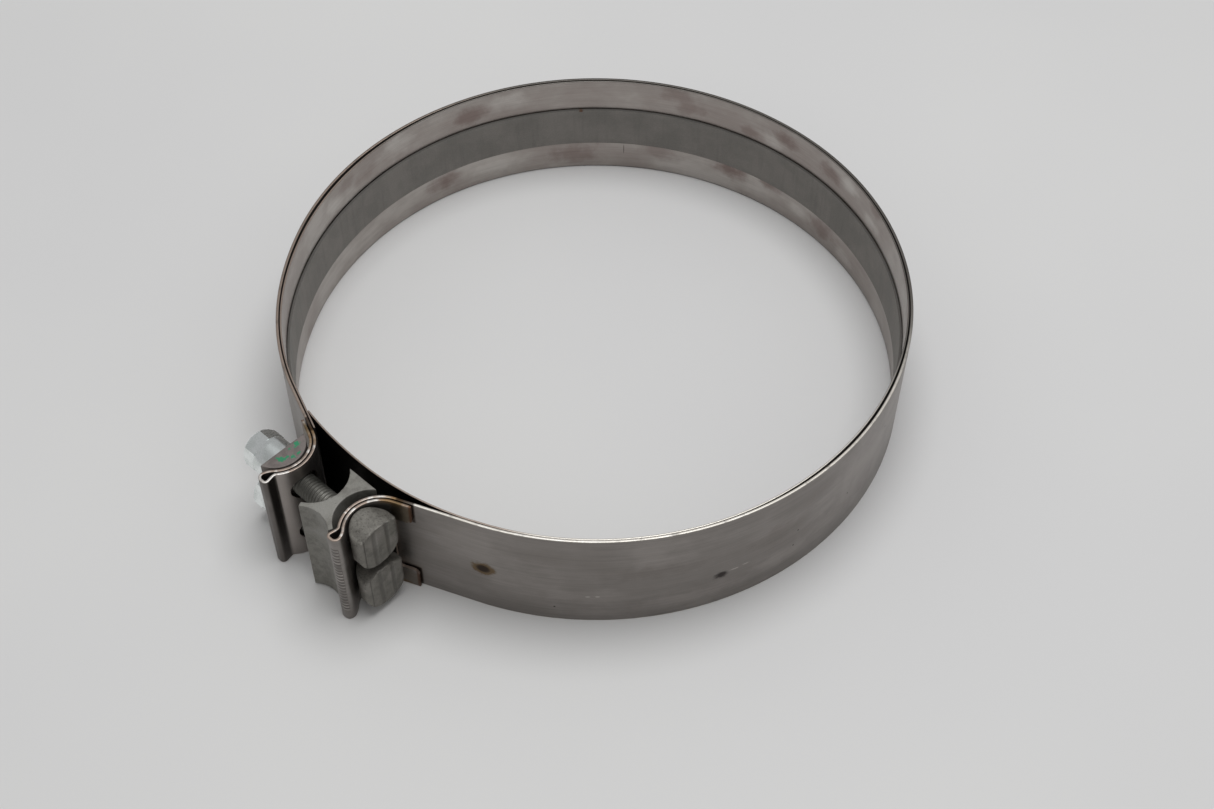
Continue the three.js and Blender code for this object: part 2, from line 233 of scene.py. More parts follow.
def half_band(side, ear):
    """One half of the band's centre line, from the back of the ring to the end of the tab.

    Also gives the distances along it at which its seven parts end.
    """
    lean = lean_of(ear)
    centre = np.array((abs(ear.x), ear.y))
    bead_centre = centre - (BEAD_SIDE, BEAD_DROP)
    ring = ring_line(BAND_MID, 180, lean, 150, lambda angles: spring(360 - angles if side < 0 else angles))
    pocket = arc(centre, EAR_MID, 90 + lean, NECK_ANGLE, 36)
    nose_in, belly_in = BEAD_HALF_WIDTH - BEAD_NOSE, BEAD_HALF_WIDTH - BEAD_BELLY
    nose = arc(bead_centre - (nose_in, nose_in), BEAD_NOSE - BAND_THICKNESS / 2, BEAD_START_ANGLE, 270, 16)
    belly = arc(bead_centre + (belly_in, -belly_in), BEAD_BELLY - BAND_THICKNESS / 2, 270, BEAD_END_ANGLE, 20)
    bead = np.vstack((nose, belly))
    flap = arc(centre, FLAP_MID, RETURN_NECK_ANGLE, 90 + lean, 36)
    into_bead = link(pocket[-1], NECK_ANGLE + 90, bead[0], BEAD_START_ANGLE + 90, BEAD_EASE, 10)
    out_of_bead = link(bead[-1], BEAD_END_ANGLE - 270, flap[0], RETURN_NECK_ANGLE - 90, BEAD_EASE, 10)
    tab = [flap[-1] + TAB_LENGTH * unit(lean)]
    parts = (ring, pocket, into_bead, bead, out_of_bead, flap, tab)
    line = np.vstack(parts)
    ends = np.cumsum([len(part) for part in parts]) - 1
    return line * (side, 1), run_along(line)[ends]


def run_along(line):
    """Distance from a line's first point to each of its points."""
    steps = np.linalg.norm(np.diff(line, axis=0), axis=1)
    return np.concatenate(((0,), np.cumsum(steps)))


# ---------------- mesh helpers
def placed(data):
    """An object in the scene for a mesh, a lamp or a camera, with its name."""
    made = bpy.data.objects.new(data.name, data)
    scene.collection.objects.link(made)
    return made


def soften(mesh, degrees=32):
    """Smooth shading that keeps edges sharper than the given angle."""
    mesh.shade_smooth()
    mesh.set_sharp_from_angle(angle=math.radians(degrees))


def grid_mesh(name, points, capped=True):
    """A closed solid from rows of points, each a loop, with flat caps or its last row joined to its first."""
    count, width = points.shape[:2]
    index = np.arange(count * width).reshape(count, width)
    if not capped:
        index = np.vstack((index, index[:1]))
    beside = np.roll(index, -1, axis=1)
    quads = np.stack((index[:-1], index[1:], beside[1:], beside[:-1]), axis=-1).reshape(-1, 4).tolist()
    if capped:
        quads += [index[0].tolist(), index[-1][::-1].tolist()]
    mesh = bpy.data.meshes.new(name)
    mesh.from_pydata(points.reshape(-1, 3).tolist(), [], quads)
    mesh.update()
    return mesh


def rim_loop(thickness, low, high, rows, rounding):
    """A strip's section: (outward offset, height), up the outside, over the rim and down the inside."""
    half = thickness / 2
    across = half - rounding
    corners = ((across, high - rounding, 0), (-across, high - rounding, 90),
               (-across, low + rounding, 180), (across, low + rounding, 270))
    rim = [arc((x, z), rounding, start, start + 90, 3) for x, z, start in corners]
    heights = np.linspace(low + rounding, high - rounding, rows + 1)[1:-1]
    outside = np.column_stack((np.full(len(heights), half), heights))
    inside = outside[::-1] * (-1, 1)
    return np.vstack((outside, *rim[:2], inside, *rim[2:]))


def strip_piece(name, line, thickness, low, high, start, stretch=1.0, rows=12):
    """A strip of sheet along a plan line. start is the distance along the ring at its first point."""
    along = np.gradient(line, axis=0)
    along /= np.linalg.norm(along, axis=1)[:, None]
    outward = np.column_stack((along[:, 1], -along[:, 0]))
    loop = rim_loop(thickness, low, high, rows, min(RIM_ROUND, thickness * 0.3))
    points = np.empty((len(line), len(loop), 3))
    points[:, :, :2] = line[:, None] + outward[:, None] * loop[None, :, :1]
    points[:, :, 2] = loop[:, 1]
    mesh = grid_mesh(name, points)
    distance = np.repeat(start + run_along(line) * stretch, len(loop))
    height = np.tile(loop[:, 1], len(line))
    corner = np.empty(len(mesh.loops), np.int32)
    mesh.loops.foreach_get("vertex_index", corner)
    layer = mesh.uv_layers.new(name="strip")
    layer.uv.foreach_set("vector", np.column_stack((distance, height))[corner].astype(np.float32).ravel())
    outside = mesh.attributes.new("outside", "FLOAT", "POINT")
    outside.data.foreach_set("value", np.tile(loop[:, 0] > thickness * 0.45, len(line)).astype(np.float32))
    soften(mesh)
    return placed(mesh)


def prism(outline, low, high):
    """A bmesh solid: an outline in the X-Y plane raised from one height to another."""
    solid = bmesh.new()
    floor_loop = [solid.verts.new((x, y, low)) for x, y in outline]
    top_loop = [solid.verts.new((x, y, high)) for x, y in outline]
    solid.faces.new(floor_loop[::-1])
    solid.faces.new(top_loop)
    for i, vertex in enumerate(floor_loop):
        after = (i + 1) % len(outline)
        solid.faces.new((vertex, floor_loop[after], top_loop[after], top_loop[i]))
    bmesh.ops.recalc_face_normals(solid, faces=solid.faces)
    return solid


def joined(name, solids):
    """One object from several bmesh solids that don't touch."""
    mesh = bpy.data.meshes.new(name)
    whole = bmesh.new()
    for solid in solids:
        part = bpy.data.meshes.new(name)
        solid.to_mesh(part)
        whole.from_mesh(part)
        bpy.data.meshes.remove(part)
        solid.free()
    whole.to_mesh(mesh)
    whole.free()
    return placed(mesh)


def applied(piece):
    """Turns a piece's modifiers into its mesh."""
    depsgraph = bpy.context.evaluated_depsgraph_get()
    mesh = bpy.data.meshes.new_from_object(piece.evaluated_get(depsgraph))
    piece.modifiers.clear()
    piece.data = mesh
    return piece


def boolean(piece, tool, operation):
    modifier = piece.modifiers.new(operation, "BOOLEAN")
    modifier.operation = operation
    modifier.solver = "EXACT"
    modifier.object = tool
    applied(piece)
    bpy.data.objects.remove(tool)


def cast_surface(piece, voxel, rounds):
    """An even fine mesh with softly rounded edges, as on a cast or forged piece."""
    remesh = piece.modifiers.new("remesh", "REMESH")
    remesh.mode = "VOXEL"
    remesh.voxel_size = voxel
    relax = piece.modifiers.new("relax", "SMOOTH")
    relax.factor = 0.5
    relax.iterations = rounds
    applied(piece)
    piece.data.shade_smooth()


# ---------------- shader helpers
def tone(red, green, blue):
    """A colour from display values of 0 to 255."""
    levels = (c / 255 for c in (red, green, blue))
    return (*(c / 12.92 if c <= 0.04045 else ((c + 0.055) / 1.055) ** 2.4 for c in levels), 1.0)


class Look:
    """A material whose nodes are added by short calls.

    Its patterns lie on the named UV map, or else on the piece's own coordinates: where, with its
    axes x and y. On a strip x is the distance along it and y the height.
    """

    def __init__(self, name, uv_map=None, **finish):
        self.material = bpy.data.materials.new(name)
        self.material.use_nodes = True
        self.tree = self.material.node_tree
        self.surface = self.tree.nodes["Principled BSDF"]
        for socket, value in finish.items():
            self.surface.inputs[socket.replace("_", " ")].default_value = value
        if uv_map:
            self.where = self.node("UVMap", {}, uv_map=uv_map).outputs[0]
        else:
            self.where = self.node("TexCoord", {}).outputs["Object"]
        self.x, self.y = self.node("SeparateXYZ", {0: self.where}).outputs[:2]

    def node(self, kind, inputs, **settings):
        made = self.tree.nodes.new("ShaderNode" + kind)
        for key, value in settings.items():
            setattr(made, key, value)
        for key, value in inputs.items():
            if isinstance(value, bpy.types.NodeSocket):
                self.tree.links.new(value, made.inputs[key])
            else:
                made.inputs[key].default_value = value
        return made

    def math(self, operation, first, second=0.0):
        return self.node("Math", {0: first, 1: second}, operation=operation).outputs[0]

    def times(self, first, second):
        return self.math("MULTIPLY", first, second)

    def plus(self, first, second):
        return self.math("ADD", first, second)

    def minus(self, first, second):
        return self.math("SUBTRACT", first, second)

    def mix(self, factor, first, second, blend="MIX"):
        inputs = {0: factor, 6: first, 7: second}
        return self.node("Mix", inputs, data_type="RGBA", blend_type=blend).outputs[2]

    def tint(self, color, over, mask, share=1.0):
        """Lays a colour over another where a mask is 1, at a share of full strength."""
        return self.mix(self.times(mask, share), color, over)

    def away(self, value, centre):
        """How far a value is from a centre, either way."""
        return self.math("ABSOLUTE", self.minus(value, centre))

    def vector(self, operation, first, second):
        return self.node("VectorMath", {0: first, 1: second}, operation=operation).outputs[0]

    def noise(self, scale, detail=3.0, roughness=0.5):
        """Noise of one scale, or of a scale for each axis."""
        where = self.where
        if isinstance(scale, tuple):
            where, scale = self.vector("MULTIPLY", where, scale), 1.0
        inputs = {"Vector": where, "Scale": scale, "Detail": detail, "Roughness": roughness}
        return self.node("TexNoise", inputs).outputs[0]

    def ragged(self, scale, amount):
        """Noise about zero that makes the edge of a spot uneven."""
        return self.times(self.minus(self.noise(scale, 4.0, 0.6), 0.5), amount)

    def fade(self, value, low, high, to_low=0.0, to_high=1.0):
        """Eases from to_low to to_high as value goes from low to high."""
        inputs = {"Value": value, "From Min": low, "From Max": high, "To Min": to_low, "To Max": to_high}
        return self.node("MapRange", inputs, interpolation_type="SMOOTHSTEP").outputs[0]

    def between(self, value, low, high, soft):
        """1 between two values, easing to 0 outside them."""
        return self.times(self.fade(value, low - soft, low), self.fade(value, high + soft, high))

    def spot(self, centre, size, soft=0.5, ragged=None):
        """1 inside an ellipse of the given half sizes, easing to 0 at its edge."""
        offset = self.vector("DIVIDE", self.vector("SUBTRACT", self.where, centre), size)
        distance = self.node("VectorMath", {0: offset}, operation="LENGTH").outputs["Value"]
        if ragged is not None:
            distance = self.plus(distance, ragged)
        return self.fade(distance, 1.0, 1.0 - soft)

    def any_of(self, whole, *masks):
        for mask in masks:
            whole = self.math("MAXIMUM", whole, mask)
        return whole

    def bump(self, height, distance, strength=1.0, under=None):
        inputs = {"Height": height, "Distance": distance, "Strength": strength}
        if under is not None:
            inputs["Normal"] = under
        return self.node("Bump", inputs).outputs["Normal"]

    def finish(self, color, roughness, normal):
        for socket, value in (("Base Color", color), ("Roughness", roughness), ("Normal", normal)):
            self.tree.links.new(value, self.surface.inputs[socket])
        return self.material


def along_ring(angle):
    """Distance along a strip's UV map, from degrees round the ring."""
    return math.radians(angle) * BAND_MID


def ring_fade(look, start, end):
    """Eases from 0 to 1 between two angles round the ring, in degrees."""
    return look.fade(look.x, along_ring(start), along_ring(end))


def strip_spot(look, place, half_size, soft=0.5, ragged=None):
    """A spot on a strip: its place in degrees round the ring and mm of height, its half sizes in mm."""
    centre = (along_ring(place[0]), place[1] * MM, 0)
    return look.spot(centre, (half_size[0] * MM, half_size[1] * MM, 1), soft, ragged)


def strip_grain(look):
    """Fine lines along the strip, 0 to 1, from two sizes of stretched noise."""
    fine = look.noise((45, 2600, 1), 2.0)
    broad = look.noise((14, 620, 1), 2.0)
    return look.plus(look.times(fine, 0.6), look.times(broad, 0.4))


def with_grain(look, grain, color, amount=0.3):
    """Lightens and darkens a colour along the grain."""
    shade = look.fade(grain, 0.25, 0.75, 1 - amount / 2, 1 + amount / 2)
    shades = look.node("CombineColor", {0: shade, 1: shade, 2: shade}).outputs[0]
    return look.mix(1.0, color, shades, "MULTIPLY")


def blots(look, places, ragged):
    """One mask from soft ragged blots: degrees, height, half length, half height in mm, strength."""
    masks = []
    for angle, height, half_length, half_height, strength in places:
        blot = strip_spot(look, (angle, height), (half_length, half_height), 0.9, ragged)
        masks.append(look.times(blot, strength))
    return look.any_of(*masks)


def stained_steel(look, tones, dark_places, pale_or_reflected_places, stain_share):
    """The colour of rolled stainless strip, with soft clouds and with dark and pale blots at given places; on
    the band the pale blots are painted reflection.
    """
    base, stain, pale = tones
    ragged = look.ragged((130, 130, 1), 1.5)
    cloud = look.noise((24, 40, 1), 4.0, 0.6)
    dull = look.times(look.fade(cloud, 0.46, 0.68), stain_share)
    bright = look.times(look.fade(cloud, 0.52, 0.36), 0.45)
    pale_or_reflection = look.any_of(bright, blots(look, pale_or_reflected_places, ragged))
    dark = look.any_of(dull, blots(look, dark_places, ragged))
    color = look.mix(pale_or_reflection, base, pale)
    return look.mix(dark, color, stain)


def rim_mask(look, low, high):
    """1 on the sheared edges of a strip."""
    half = (high - low) / 2
    return look.fade(look.away(look.y, low + half), half - 0.3 * MM, half - 0.15 * MM)


# ---------------- materials of the strips
# Tones come in threes, as base, dark and pale, or in pairs that a soft pattern mixes.
BAND_TONES = (tone(138, 133, 129), tone(110, 103, 98), tone(158, 152, 148))
LINER_TONES = (tone(169, 162, 157), tone(128, 112, 107), tone(200, 196, 191))
# Rim tones: a painted highlight, a dull tone that is also painted shade on the back rims, a tan, and a
# painted white glint
RIM_PAINTED_HIGHLIGHT = tone(214, 209, 200)
RIM_DULL_AND_SHADE = tone(104, 100, 95)
RIM_TAN = tone(162, 146, 134)
RIM_PAINTED_GLINT = tone(238, 235, 230)
HEAT_STRAW = tone(128, 98, 54)
TAB_BROWN = tone(98, 84, 62)
RUST = tone(92, 58, 34)
# Weld burn, also painted contact shadow with rust round the tabs
WELD_BURN_AND_SHADOW = tone(48, 36, 26)
WELD_RING = tone(104, 84, 56)
SCRATCH = tone(206, 200, 194)
DENT = tone(58, 52, 50)
# Painted shade in crevices and on edges that lie in shadow
PAINTED_CREVICE_SHADE = tone(52, 50, 48)
# Painted shade in the left ear's groove, also the darker tone of the press-mark row
GROOVE_SHADE_AND_ROW_DARK = tone(62, 57, 54)
# Painted deep shade for the tongue's outer face
TONGUE_PAINTED_SHADE = tone(46, 44, 42)
FLANK_PALE = tone(174, 166, 161)
GASKET_TONES = (tone(121, 118, 113), tone(134, 130, 125))
GASKET_STREAK = tone(102, 98, 96)

# Degrees round the ring, height, half length, half height (mm) and strength
LINER_DARK = (
    (250, 42, 15, 8, 0.8), (277, 42, 11, 6, 0.45), (283, 46, 11, 6, 0.45), (206, 47, 14, 7, 0.55),
    (203, 41, 13, 6, 0.6), (189, 39, 11, 5, 0.7), (181, 44, 10, 7, 0.85), (169, 43, 12, 7, 0.75),
    (153, 49, 9, 5, 0.6), (257, 10, 11, 7, 0.8), (228, 9, 20, 10, 0.65), (210, 12, 14, 7, 0.45),
    (193, 12, 12, 6, 0.95), (184, 14, 9, 5, 0.8), (169, 9, 15, 8, 0.7), (305, 3, 8, 5, 0.4),
)
LINER_LIGHT = (
    (268, 45, 13, 8, 0.8), (242, 44, 16, 7, 0.7), (287, 42, 10, 7, 0.7), (185, 40, 12, 5, 0.7),
    (163, 46, 10, 5, 0.8), (154, 41, 10, 4, 0.8), (201, 3, 16, 4, 0.4), (176, 9, 10, 5, 0.6),
    (161, 5, 10, 5, 0.8), (246, 8, 22, 7, 0.6),
)
BAND_DARK = (
    (52, 30, 30, 8, 0.35), (75, 28, 24, 8, 0.45), (33, 40, 20, 6, 0.3), (85, 40, 20, 8, 0.35),
)
# Pale blots on the band's outer wall, a painted reflection of the bright floor
BAND_PAINTED_REFLECTIONS = (
    (60, 9, 34, 6, 0.7), (88, 14, 26, 8, 0.6), (30, 14, 16, 6, 0.3), (100, 28, 50, 34, 0.9),
    (318, 26, 30, 30, 0.9), (78, 12, 22, 7, 0.8),
)
# Degrees round the ring and height (mm), and a nick's half length (mm)
WELD_PLACE = (23.8, 24.0)
DENT_PLACE = (64.7, 17.3)
NICKS = (((41.7, 15.8), 1.3), ((43.3, 15.9), 1.1), ((67.1, 18.4), 2.6), ((69.3, 18.9), 2.0))
SPECKS = ((105.4, 32.9), (80.1, 22.9), (79.4, 14.4), (93.0, 20.0), (36.0, 8.0))
LINER_TICK = (217.3, 11)
GASKET_SPECK = (226.4, 34.5)


class EarPlaces:
    """Distances along the band's UV map at which the features of one ear lie."""

    def __init__(self, side, ear):
        distances = along_ring(180) - side * half_band(side, ear)[1]
        self.side = side
        self.pocket_end, self.bead_start, self.bead_end = distances[1:4]
        self.tab_start, self.tab_end = distances[5:]
        pocket_turn = math.radians(NECK_ANGLE - 90 - lean_of(ear))
        self.pocket_start = self.pocket_end + side * EAR_MID * pocket_turn


def band_material():
    look = Look("band_steel", "strip", Metallic=1.0)
    grain = strip_grain(look)
    ears = [EarPlaces(side, ear) for side, ear in EARS]
    # The band's pale blots paint a reflection of the bright floor on its outer wall.
    color = stained_steel(look, BAND_TONES, BAND_DARK, BAND_PAINTED_REFLECTIONS, 0.25)
    color = with_grain(look, grain, color)
    color, burn, dent = surface_marks(look, color)
    # Painted shade in the left ear's groove, and darker over its bead
    color = bead_shade(look, color, ears[1])
    marks, row = press_marks(look, ears[0])
    color = look.tint(color, GROOVE_SHADE_AND_ROW_DARK, row, 0.5)
    color = look.tint(color, SCRATCH, marks, 0.6)
    rim = rim_mask(look, 0.0, BAND_WIDTH)
    color = look.tint(color, band_rim_color(look, ears), rim, 0.9)
    for ear in ears:
        color = heat_tint(look, color, ear)
    height = look.plus(grain, look.times(burn, 0.6))
    height = look.minus(height, look.times(dent, 2.0))
    height = look.plus(height, look.times(marks, 12.0))
    waves = look.noise((22, 30, 1), 1.0)
    normal = look.bump(waves, 0.6 * MM, 0.35)
    roughness = look.fade(grain, 0.2, 0.8, 0.36, 0.5)
    return look.finish(color, roughness, look.bump(height, 0.03 * MM, 1.0, normal))


def surface_marks(look, color):
    """A spot weld, a dent, a few nicks and dark specks on the outer face in front."""
    ragged = look.ragged((400, 400, 1), 1.2)
    halo = strip_spot(look, WELD_PLACE, (5.6, 4.4), 0.4, ragged)
    burn = strip_spot(look, WELD_PLACE, (3.5, 2.8))
    dent = strip_spot(look, DENT_PLACE, (3.7, 2.5), 0.7, ragged)
    nicks = [strip_spot(look, place, (length, 0.5), 0.6, ragged) for place, length in NICKS]
    specks = [strip_spot(look, place, (0.5, 0.5)) for place in SPECKS]
    color = look.tint(color, WELD_RING, halo, 0.9)
    color = look.tint(color, WELD_BURN_AND_SHADOW, burn)
    color = look.tint(color, DENT, look.any_of(dent, *specks))
    return look.tint(color, SCRATCH, look.any_of(*nicks), 0.5), burn, dent


def band_rim_color(look, ears):
    """Rims carry a painted highlight in front and painted shade at the back, are tan at the left and on the
    ears, and get painted white glints and uneven dull patches.
    """
    right_start, left_start = (ear.pocket_start for ear in ears)
    uneven = look.noise((160, 160, 1), 3.0, 0.6)
    glint_noise = look.noise((210, 90, 1), 2.0)
    color = look.mix(ring_fade(look, 130, 105), RIM_DULL_AND_SHADE, RIM_PAINTED_HIGHLIGHT)
    on_right_ear = look.fade(look.x, right_start + 8 * MM, right_start)
    on_left_ear = look.fade(look.x, left_start - 8 * MM, left_start)
    glint_places = look.any_of(on_right_ear, on_left_ear, look.times(ring_fade(look, 80, 60), 0.5))
    color = look.tint(color, RIM_TAN, look.any_of(on_right_ear, ring_fade(look, 235, 275)))
    # Painted white glints on the rims of the ears and, weaker, in front
    color = look.tint(color, RIM_PAINTED_GLINT, look.fade(glint_noise, 0.5, 0.62, 0.0, 0.75), glint_places)
    return look.tint(color, RIM_DULL_AND_SHADE, look.fade(uneven, 0.5, 0.72), 0.6)


def bead_shade(look, color, ear):
    """Painted shade in the groove between an ear's pale flank and its bead, and a weaker darkening over the
    bead.
    """
    low, high = sorted((ear.pocket_end, ear.bead_start))
    groove = look.between(look.x, low + 1.9 * MM, high + 0.6 * MM, 1.2 * MM)
    flank = look.between(look.x, low - 8.5 * MM, low - 0.5 * MM, 1.8 * MM)
    low, high = sorted((ear.bead_start, ear.bead_end))
    face = look.between(look.x, low, high, 1.0 * MM)
    uneven = look.noise((240, 60, 1), 3.0)
    share = look.any_of(look.times(groove, 0.85), look.times(face, 0.55))
    color = look.tint(color, FLANK_PALE, flank, 0.65)
    return look.tint(color, GROOVE_SHADE_AND_ROW_DARK, share, look.fade(uneven, 0.2, 0.5, 0.7, 1.0))


def heat_tint(look, color, ear):
    """Straw rims, brown tabs with rusty edges, and a dark outline of painted contact shadow with rust round
    each tab, where the second layer is welded to the band.
    """
    ragged = look.ragged((260, 260, 1), 1.4)
    straw, brown = [], []
    for height in (BAND_WIDTH, 0.0):
        for distance, half_length in ((ear.tab_start, 9 * MM), (ear.pocket_start, 7 * MM)):
            size = (half_length, 2.4 * MM, 1)
            straw.append(look.spot((distance, height, 0), size, 0.8, ragged))
    for height, strength in ((BAND_WIDTH - TAB_HEIGHT / 2, 0.75), (TAB_HEIGHT / 2, 0.4)):
        size = (TAB_LENGTH * 0.9, TAB_HEIGHT * 0.75, 1)
        patch = look.spot(((ear.tab_start + ear.tab_end) / 2, height, 0), size, 0.5, ragged)
        brown.append(look.times(patch, strength))
    at_end = look.fade(look.away(look.x, ear.tab_end), 1.4 * MM, 0.4 * MM)
    edges = look.fade(look.away(look.y, BAND_WIDTH / 2), TAB_INNER - TAB_HEIGHT * 0.3, TAB_INNER)
    color = look.tint(color, HEAT_STRAW, look.any_of(*straw), 0.75)
    color = look.tint(color, TAB_BROWN, look.any_of(*brown))
    color = look.tint(color, RUST, look.times(at_end, edges), 0.8)
    # Painted contact shadow, with rust, round each tab
    return look.tint(color, WELD_BURN_AND_SHADOW, tab_outline(look, ear), 0.85)


def tab_outline(look, ear):
    """A dark line on the band round each tab that is welded to it: painted contact shadow, with rust."""
    reach = look.times(look.minus(look.x, ear.pocket_start), ear.side)
    inside = look.fade(reach, TAB_LENGTH + 1.1 * MM, TAB_LENGTH + 0.2 * MM)
    started = look.fade(reach, 0.0, 1.0 * MM)
    from_middle = look.away(look.y, BAND_WIDTH / 2)
    beside = look.fade(from_middle, TAB_INNER - 1.1 * MM, TAB_INNER - 0.2 * MM)
    return look.times(look.times(inside, started), beside)


def press_marks(look, ear):
    """Plain short press marks down the outer face of a bead, and the darker row they stand in."""
    middle = ear.bead_start + (ear.bead_end - ear.bead_start) * 0.6
    column = look.between(look.x, middle - 1.1 * MM, middle + 1.1 * MM, 0.3 * MM)
    span = look.between(look.y, 6 * MM, 45 * MM, 1 * MM)
    ridge = look.math("SINE", look.times(look.y, 2 * math.pi / (1.9 * MM)))
    uneven = look.noise((150, 240, 1), 2.0)
    marks = look.times(look.fade(ridge, 0.1, 0.8), look.fade(uneven, 0.38, 0.6, 0.15, 1.0))
    row = look.times(column, span)
    return look.times(marks, row), row


def liner_material():
    look = Look("liner_steel", "strip", Metallic=1.0)
    grain = strip_grain(look)
    color = stained_steel(look, LINER_TONES, LINER_DARK, LINER_LIGHT, 0.3)
    color = with_grain(look, grain, color, 0.22)
    color = look.tint(color, DENT, strip_spot(look, LINER_TICK, (0.3, 3.5)), 0.6)
    # Painted shadow along the gasket's top edge
    color = look.tint(color, PAINTED_CREVICE_SHADE, gasket_edge_shadow(look))
    # Painted deep shade on the tongue's outer face
    color = look.tint(color, TONGUE_PAINTED_SHADE, tongue_outside(look))
    # Painted highlight on the liner's front rims and painted shade on its back rims
    rim_color = look.mix(ring_fade(look, 120, 95), RIM_DULL_AND_SHADE, RIM_PAINTED_HIGHLIGHT)
    rim_color = look.tint(rim_color, RIM_TAN, look.any_of(ring_fade(look, 34, 26), ring_fade(look, 262, 290)))
    color = look.tint(color, rim_color, rim_mask(look, LINER_LOW, LINER_HIGH), 0.85)
    # Painted shade over the last half millimetre of the liner's left end
    end = liner_end_distance()
    color = look.tint(color, PAINTED_CREVICE_SHADE, look.fade(look.x, end - 0.5 * MM, end - 0.1 * MM), 0.85)
    roughness = look.fade(grain, 0.2, 0.8, 0.32, 0.46)
    waves = look.noise((26, 34, 1), 1.0)
    normal = look.bump(waves, 0.6 * MM, 0.35)
    return look.finish(color, roughness, look.bump(grain, 0.02 * MM, 1.0, normal))


def liner_end_distance():
    """Where the liner's left end lies on its UV map."""
    return along_ring(TONGUE_JOIN_ANGLE) + run_along(liner_line())[-1] * BAND_MID / LINER_MID


def gasket_edge_shadow(look):
    """An uneven line of painted shadow on the liner along the gasket's top edge."""
    uneven = look.noise((120, 60, 1), 4.0, 0.7)
    line = look.between(look.y, GASKET_HIGH, GASKET_HIGH + 0.35 * MM, 0.4 * MM)
    share = look.plus(0.35, look.times(ring_fade(look, 262, 278), 0.6))
    return look.times(line, look.times(share, look.fade(uneven, 0.3, 0.5)))


def tongue_outside(look):
    """1 on the outer face of the tongue, which gets painted deep shade."""
    outside = look.node("Attribute", {}, attribute_name="outside").outputs["Fac"]
    return look.times(outside, ring_fade(look, 40, 32))


def gasket_material():
    look = Look("gasket", "strip", Specular_IOR_Level=0.3)
    mottle = look.noise(60, 4.0, 0.6)
    fibre = look.noise(1400, 3.0, 0.6)
    streak = look.noise((420, 30, 1), 2.0)
    color = look.mix(look.fade(mottle, 0.35, 0.65), *GASKET_TONES)
    color = look.tint(color, GASKET_STREAK, look.fade(streak, 0.5, 0.7), 0.2)
    color = with_grain(look, fibre, color, 0.14)
    # Painted shade on the gasket's edges
    color = look.tint(color, PAINTED_CREVICE_SHADE, rim_mask(look, GASKET_LOW, GASKET_HIGH), 0.5)
    color = look.tint(color, RUST, strip_spot(look, GASKET_SPECK, (1.2, 0.8)), 0.8)
    roughness = look.fade(mottle, 0.3, 0.7, 0.62, 0.78)
    return look.finish(color, roughness, look.bump(fibre, 0.05 * MM, 0.6))


# ---------------- materials of the solid pieces
PIT = tone(60, 58, 55)
BLOCK_TONES = (tone(134, 132, 125), tone(114, 111, 105), tone(140, 138, 132))
BOLT_TONES = (tone(124, 121, 114), tone(104, 101, 95), tone(136, 132, 126))
FLUTE_SHADE = tone(72, 70, 66)
SAND_GRAIN = tone(70, 67, 62)
BAR_TONES = (tone(124, 116, 112), tone(108, 101, 97), tone(134, 128, 124))
PAINT_GREEN = tone(40, 140, 98)
ZINC_TONES = (tone(244, 248, 247), tone(226, 231, 229))
ZINC_TAN = tone(150, 128, 96)
THREAD_TONES = (tone(136, 134, 128), tone(114, 112, 107), tone(148, 146, 140))
# Painted shade for the thread beside the left ear
THREAD_PAINTED_SHADE = tone(66, 66, 60)
FLOOR_TONES = (tone(223, 222, 221), tone(227, 226, 224))
# Place across the head's flat face and half width (mm), and a share of full depth
FLUTES = ((-7.0, 0.35, 1.0), (-2.3, 1.5, 0.8), (3.8, 1.3, 0.8))
# Place on the bar's top from its flat and from the bolt line, then half sizes (mm)
PAINT_DABS = (
    (2.1, 5.0, 1.1, 1.5), (1.8, 2.0, 0.5, 0.6), (3.2, -3.6, 1.3, 1.1), (1.9, -4.0, 1.1, 0.5),
    (4.1, -1.6, 0.6, 1.9), (5.6, 0.5, 0.9, 1.1), (5.8, 3.2, 0.5, 1.1),
)


def cast_steel(look, tones, roughness, relief, pitting):
    """Sandy grey steel: fine grain, soft mottling and a few dark pits. Gives colour, roughness, normal."""
    base, dark, light = tones
    grain = look.noise(2400, 3.0, 0.7)
    mottle = look.noise(320, 4.0, 0.65)
    cloud = look.noise(90, 2.0)
    pits = look.fade(look.noise(700, 1.0), 0.74, 0.8)
    color = look.mix(look.fade(mottle, 0.36, 0.6), dark, base)
    color = look.tint(color, light, look.fade(cloud, 0.48, 0.68))
    color = look.tint(color, PIT, pits, pitting)
    color = with_grain(look, grain, color, 0.32)
    rough = look.fade(mottle, 0.3, 0.7, roughness - 0.07, roughness + 0.07)
    height = look.minus(grain, look.times(pits, pitting))
    normal = look.bump(mottle, relief * MM, 0.7)
    return color, rough, look.bump(height, 0.05 * MM, 0.8, normal)


def block_material():
    look = Look("block_steel", Metallic=0.35)
    return look.finish(*cast_steel(look, BLOCK_TONES, 0.56, 0.04, 0.3))


def bolt_material():
    """Forged heads with sandy dark specks, and three soft flutes down the flat outer face."""
    look = Look("bolt_steel", Metallic=0.5)
    color, rough, normal = cast_steel(look, BOLT_TONES, 0.52, 0.10, 0.35)
    on_face = look.fade(look.x, HEAD_FLAT_X - 0.9 * MM, HEAD_FLAT_X - 0.3 * MM)
    flutes = []
    for across, half_width, depth in FLUTES:
        away = look.away(look.y, BOLT_Y + across * MM)
        flute = look.fade(away, half_width * MM, half_width * 0.2 * MM)
        flutes.append(look.times(flute, depth))
    fluting = look.times(look.any_of(*flutes), on_face)
    color = look.tint(color, FLUTE_SHADE, fluting, 0.5)
    sand = look.fade(look.noise(1300, 2.0), 0.56, 0.66, 0.0, 0.55)
    color = look.tint(color, SAND_GRAIN, sand, look.minus(1.0, on_face))
    depth = look.minus(1.0, fluting)
    return look.finish(color, rough, look.bump(depth, 0.35 * MM, 0.8, normal))


